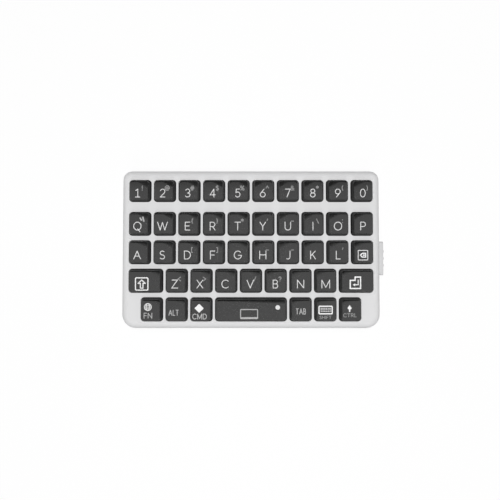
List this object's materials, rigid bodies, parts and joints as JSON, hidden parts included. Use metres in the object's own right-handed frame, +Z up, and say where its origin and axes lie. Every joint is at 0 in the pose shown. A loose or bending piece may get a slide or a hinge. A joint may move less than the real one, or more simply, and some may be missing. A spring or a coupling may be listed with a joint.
{
  "type": "pocket keyboard",
  "caption": "Pocket wireless keyboard: a flat light-grey two-part body with dark hard keys in rows and a slide power switch on its right side.",
  "frame": {"origin": "on the desk face, under the middle of the body", "axes": "+Z up out of the keys, +Y towards the number row, +X to the right of someone typing"},
  "size_m": [0.0766, 0.0458, 0.0106],
  "materials": {
    "case_plastic": "fine matt moulded texture, light grey",
    "key_plastic": "satin hard plastic, dark grey, with pale printed legends",
    "knob_plastic": "fine matt moulded texture, light grey",
    "silicone": "translucent grey moulded rubber",
    "board": "green solder mask",
    "can_metal": "tinned sheet metal",
    "cell_foil": "satin laminate foil",
    "foam": "double-sided foam",
    "wire_jacket": "soft wire insulation",
    "socket_steel": "bright stainless steel",
    "black_plastic": "black moulded plastic",
    "light_lens": "clear milky lens",
    "screw_steel": "nickel-plated steel"
  },
  "bodies": {
    "case": {"top_case": "case_plastic", "bottom_case": "case_plastic", "rubber_mat": "silicone", "circuit_board": "board", "radio_module": "can_metal", "battery": "cell_foil", "battery_pad": "foam", "battery_lead": "wire_jacket", "usb_socket": "socket_steel", "switch_body": "can_metal", "status_led": "light_lens", "case_screws": "screw_steel"},
    "key_1": {"key_1": "key_plastic"},
    "key_2": {"key_2": "key_plastic"},
    "key_3": {"key_3": "key_plastic"},
    "key_4": {"key_4": "key_plastic"},
    "key_5": {"key_5": "key_plastic"},
    "key_6": {"key_6": "key_plastic"},
    "key_7": {"key_7": "key_plastic"},
    "key_8": {"key_8": "key_plastic"},
    "key_9": {"key_9": "key_plastic"},
    "key_0": {"key_0": "key_plastic"},
    "key_q": {"key_q": "key_plastic"},
    "key_w": {"key_w": "key_plastic"},
    "key_e": {"key_e": "key_plastic"},
    "key_r": {"key_r": "key_plastic"},
    "key_t": {"key_t": "key_plastic"},
    "key_y": {"key_y": "key_plastic"},
    "key_u": {"key_u": "key_plastic"},
    "key_i": {"key_i": "key_plastic"},
    "key_o": {"key_o": "key_plastic"},
    "key_p": {"key_p": "key_plastic"},
    "key_a": {"key_a": "key_plastic"},
    "key_s": {"key_s": "key_plastic"},
    "key_d": {"key_d": "key_plastic"},
    "key_f": {"key_f": "key_plastic"},
    "key_g": {"key_g": "key_plastic"},
    "key_h": {"key_h": "key_plastic"},
    "key_j": {"key_j": "key_plastic"},
    "key_k": {"key_k": "key_plastic"},
    "key_l": {"key_l": "key_plastic"},
    "key_backspace": {"key_backspace": "key_plastic"},
    "key_caps": {"key_caps": "key_plastic"},
    "key_z": {"key_z": "key_plastic"},
    "key_x": {"key_x": "key_plastic"},
    "key_c": {"key_c": "key_plastic"},
    "key_v": {"key_v": "key_plastic"},
    "key_b": {"key_b": "key_plastic"},
    "key_n": {"key_n": "key_plastic"},
    "key_m": {"key_m": "key_plastic"},
    "key_enter": {"key_enter": "key_plastic"},
    "key_fn": {"key_fn": "key_plastic"},
    "key_alt": {"key_alt": "key_plastic"},
    "key_cmd": {"key_cmd": "key_plastic"},
    "key_space": {"key_space": "key_plastic"},
    "key_tab": {"key_tab": "key_plastic"},
    "key_shift": {"key_shift": "key_plastic"},
    "key_ctrl": {"key_ctrl": "key_plastic"},
    "power_knob": {"switch_knob": "knob_plastic", "switch_slider": "black_plastic"}
  },
  "joints": [
    {"name": "key_1_press", "type": "slide", "parent": "case", "child": "key_1", "axis": [0, 0, -1], "range_m": [0, 0.0006], "stiffness_N_per_m": 600, "springref_m": -0.0005, "deforming": ["rubber_mat"]},
    {"name": "key_2_press", "type": "slide", "parent": "case", "child": "key_2", "axis": [0, 0, -1], "range_m": [0, 0.0006], "stiffness_N_per_m": 600, "springref_m": -0.0005, "deforming": ["rubber_mat"]},
    {"name": "key_3_press", "type": "slide", "parent": "case", "child": "key_3", "axis": [0, 0, -1], "range_m": [0, 0.0006], "stiffness_N_per_m": 600, "springref_m": -0.0005, "deforming": ["rubber_mat"]},
    {"name": "key_4_press", "type": "slide", "parent": "case", "child": "key_4", "axis": [0, 0, -1], "range_m": [0, 0.0006], "stiffness_N_per_m": 600, "springref_m": -0.0005, "deforming": ["rubber_mat"]},
    {"name": "key_5_press", "type": "slide", "parent": "case", "child": "key_5", "axis": [0, 0, -1], "range_m": [0, 0.0006], "stiffness_N_per_m": 600, "springref_m": -0.0005, "deforming": ["rubber_mat"]},
    {"name": "key_6_press", "type": "slide", "parent": "case", "child": "key_6", "axis": [0, 0, -1], "range_m": [0, 0.0006], "stiffness_N_per_m": 600, "springref_m": -0.0005, "deforming": ["rubber_mat"]},
    {"name": "key_7_press", "type": "slide", "parent": "case", "child": "key_7", "axis": [0, 0, -1], "range_m": [0, 0.0006], "stiffness_N_per_m": 600, "springref_m": -0.0005, "deforming": ["rubber_mat"]},
    {"name": "key_8_press", "type": "slide", "parent": "case", "child": "key_8", "axis": [0, 0, -1], "range_m": [0, 0.0006], "stiffness_N_per_m": 600, "springref_m": -0.0005, "deforming": ["rubber_mat"]},
    {"name": "key_9_press", "type": "slide", "parent": "case", "child": "key_9", "axis": [0, 0, -1], "range_m": [0, 0.0006], "stiffness_N_per_m": 600, "springref_m": -0.0005, "deforming": ["rubber_mat"]},
    {"name": "key_0_press", "type": "slide", "parent": "case", "child": "key_0", "axis": [0, 0, -1], "range_m": [0, 0.0006], "stiffness_N_per_m": 600, "springref_m": -0.0005, "deforming": ["rubber_mat"]},
    {"name": "key_q_press", "type": "slide", "parent": "case", "child": "key_q", "axis": [0, 0, -1], "range_m": [0, 0.0006], "stiffness_N_per_m": 600, "springref_m": -0.0005, "deforming": ["rubber_mat"]},
    {"name": "key_w_press", "type": "slide", "parent": "case", "child": "key_w", "axis": [0, 0, -1], "range_m": [0, 0.0006], "stiffness_N_per_m": 600, "springref_m": -0.0005, "deforming": ["rubber_mat"]},
    {"name": "key_e_press", "type": "slide", "parent": "case", "child": "key_e", "axis": [0, 0, -1], "range_m": [0, 0.0006], "stiffness_N_per_m": 600, "springref_m": -0.0005, "deforming": ["rubber_mat"]},
    {"name": "key_r_press", "type": "slide", "parent": "case", "child": "key_r", "axis": [0, 0, -1], "range_m": [0, 0.0006], "stiffness_N_per_m": 600, "springref_m": -0.0005, "deforming": ["rubber_mat"]},
    {"name": "key_t_press", "type": "slide", "parent": "case", "child": "key_t", "axis": [0, 0, -1], "range_m": [0, 0.0006], "stiffness_N_per_m": 600, "springref_m": -0.0005, "deforming": ["rubber_mat"]},
    {"name": "key_y_press", "type": "slide", "parent": "case", "child": "key_y", "axis": [0, 0, -1], "range_m": [0, 0.0006], "stiffness_N_per_m": 600, "springref_m": -0.0005, "deforming": ["rubber_mat"]},
    {"name": "key_u_press", "type": "slide", "parent": "case", "child": "key_u", "axis": [0, 0, -1], "range_m": [0, 0.0006], "stiffness_N_per_m": 600, "springref_m": -0.0005, "deforming": ["rubber_mat"]},
    {"name": "key_i_press", "type": "slide", "parent": "case", "child": "key_i", "axis": [0, 0, -1], "range_m": [0, 0.0006], "stiffness_N_per_m": 600, "springref_m": -0.0005, "deforming": ["rubber_mat"]},
    {"name": "key_o_press", "type": "slide", "parent": "case", "child": "key_o", "axis": [0, 0, -1], "range_m": [0, 0.0006], "stiffness_N_per_m": 600, "springref_m": -0.0005, "deforming": ["rubber_mat"]},
    {"name": "key_p_press", "type": "slide", "parent": "case", "child": "key_p", "axis": [0, 0, -1], "range_m": [0, 0.0006], "stiffness_N_per_m": 600, "springref_m": -0.0005, "deforming": ["rubber_mat"]},
    {"name": "key_a_press", "type": "slide", "parent": "case", "child": "key_a", "axis": [0, 0, -1], "range_m": [0, 0.0006], "stiffness_N_per_m": 600, "springref_m": -0.0005, "deforming": ["rubber_mat"]},
    {"name": "key_s_press", "type": "slide", "parent": "case", "child": "key_s", "axis": [0, 0, -1], "range_m": [0, 0.0006], "stiffness_N_per_m": 600, "springref_m": -0.0005, "deforming": ["rubber_mat"]},
    {"name": "key_d_press", "type": "slide", "parent": "case", "child": "key_d", "axis": [0, 0, -1], "range_m": [0, 0.0006], "stiffness_N_per_m": 600, "springref_m": -0.0005, "deforming": ["rubber_mat"]},
    {"name": "key_f_press", "type": "slide", "parent": "case", "child": "key_f", "axis": [0, 0, -1], "range_m": [0, 0.0006], "stiffness_N_per_m": 600, "springref_m": -0.0005, "deforming": ["rubber_mat"]},
    {"name": "key_g_press", "type": "slide", "parent": "case", "child": "key_g", "axis": [0, 0, -1], "range_m": [0, 0.0006], "stiffness_N_per_m": 600, "springref_m": -0.0005, "deforming": ["rubber_mat"]},
    {"name": "key_h_press", "type": "slide", "parent": "case", "child": "key_h", "axis": [0, 0, -1], "range_m": [0, 0.0006], "stiffness_N_per_m": 600, "springref_m": -0.0005, "deforming": ["rubber_mat"]},
    {"name": "key_j_press", "type": "slide", "parent": "case", "child": "key_j", "axis": [0, 0, -1], "range_m": [0, 0.0006], "stiffness_N_per_m": 600, "springref_m": -0.0005, "deforming": ["rubber_mat"]},
    {"name": "key_k_press", "type": "slide", "parent": "case", "child": "key_k", "axis": [0, 0, -1], "range_m": [0, 0.0006], "stiffness_N_per_m": 600, "springref_m": -0.0005, "deforming": ["rubber_mat"]},
    {"name": "key_l_press", "type": "slide", "parent": "case", "child": "key_l", "axis": [0, 0, -1], "range_m": [0, 0.0006], "stiffness_N_per_m": 600, "springref_m": -0.0005, "deforming": ["rubber_mat"]},
    {"name": "key_backspace_press", "type": "slide", "parent": "case", "child": "key_backspace", "axis": [0, 0, -1], "range_m": [0, 0.0006], "stiffness_N_per_m": 600, "springref_m": -0.0005, "deforming": ["rubber_mat"]},
    {"name": "key_caps_press", "type": "slide", "parent": "case", "child": "key_caps", "axis": [0, 0, -1], "range_m": [0, 0.0006], "stiffness_N_per_m": 600, "springref_m": -0.0005, "deforming": ["rubber_mat"]},
    {"name": "key_z_press", "type": "slide", "parent": "case", "child": "key_z", "axis": [0, 0, -1], "range_m": [0, 0.0006], "stiffness_N_per_m": 600, "springref_m": -0.0005, "deforming": ["rubber_mat"]},
    {"name": "key_x_press", "type": "slide", "parent": "case", "child": "key_x", "axis": [0, 0, -1], "range_m": [0, 0.0006], "stiffness_N_per_m": 600, "springref_m": -0.0005, "deforming": ["rubber_mat"]},
    {"name": "key_c_press", "type": "slide", "parent": "case", "child": "key_c", "axis": [0, 0, -1], "range_m": [0, 0.0006], "stiffness_N_per_m": 600, "springref_m": -0.0005, "deforming": ["rubber_mat"]},
    {"name": "key_v_press", "type": "slide", "parent": "case", "child": "key_v", "axis": [0, 0, -1], "range_m": [0, 0.0006], "stiffness_N_per_m": 600, "springref_m": -0.0005, "deforming": ["rubber_mat"]},
    {"name": "key_b_press", "type": "slide", "parent": "case", "child": "key_b", "axis": [0, 0, -1], "range_m": [0, 0.0006], "stiffness_N_per_m": 600, "springref_m": -0.0005, "deforming": ["rubber_mat"]},
    {"name": "key_n_press", "type": "slide", "parent": "case", "child": "key_n", "axis": [0, 0, -1], "range_m": [0, 0.0006], "stiffness_N_per_m": 600, "springref_m": -0.0005, "deforming": ["rubber_mat"]},
    {"name": "key_m_press", "type": "slide", "parent": "case", "child": "key_m", "axis": [0, 0, -1], "range_m": [0, 0.0006], "stiffness_N_per_m": 600, "springref_m": -0.0005, "deforming": ["rubber_mat"]},
    {"name": "key_enter_press", "type": "slide", "parent": "case", "child": "key_enter", "axis": [0, 0, -1], "range_m": [0, 0.0006], "stiffness_N_per_m": 600, "springref_m": -0.0005, "deforming": ["rubber_mat"]},
    {"name": "key_fn_press", "type": "slide", "parent": "case", "child": "key_fn", "axis": [0, 0, -1], "range_m": [0, 0.0006], "stiffness_N_per_m": 600, "springref_m": -0.0005, "deforming": ["rubber_mat"]},
    {"name": "key_alt_press", "type": "slide", "parent": "case", "child": "key_alt", "axis": [0, 0, -1], "range_m": [0, 0.0006], "stiffness_N_per_m": 600, "springref_m": -0.0005, "deforming": ["rubber_mat"]},
    {"name": "key_cmd_press", "type": "slide", "parent": "case", "child": "key_cmd", "axis": [0, 0, -1], "range_m": [0, 0.0006], "stiffness_N_per_m": 600, "springref_m": -0.0005, "deforming": ["rubber_mat"]},
    {"name": "key_space_press", "type": "slide", "parent": "case", "child": "key_space", "axis": [0, 0, -1], "range_m": [0, 0.0006], "stiffness_N_per_m": 600, "springref_m": -0.0005, "deforming": ["rubber_mat"]},
    {"name": "key_tab_press", "type": "slide", "parent": "case", "child": "key_tab", "axis": [0, 0, -1], "range_m": [0, 0.0006], "stiffness_N_per_m": 600, "springref_m": -0.0005, "deforming": ["rubber_mat"]},
    {"name": "key_shift_press", "type": "slide", "parent": "case", "child": "key_shift", "axis": [0, 0, -1], "range_m": [0, 0.0006], "stiffness_N_per_m": 600, "springref_m": -0.0005, "deforming": ["rubber_mat"]},
    {"name": "key_ctrl_press", "type": "slide", "parent": "case", "child": "key_ctrl", "axis": [0, 0, -1], "range_m": [0, 0.0006], "stiffness_N_per_m": 600, "springref_m": -0.0005, "deforming": ["rubber_mat"]},
    {"name": "power_slide", "type": "slide", "parent": "case", "child": "power_knob", "axis": [0, 1, 0], "range_m": [0, 0.002]}
  ]
}
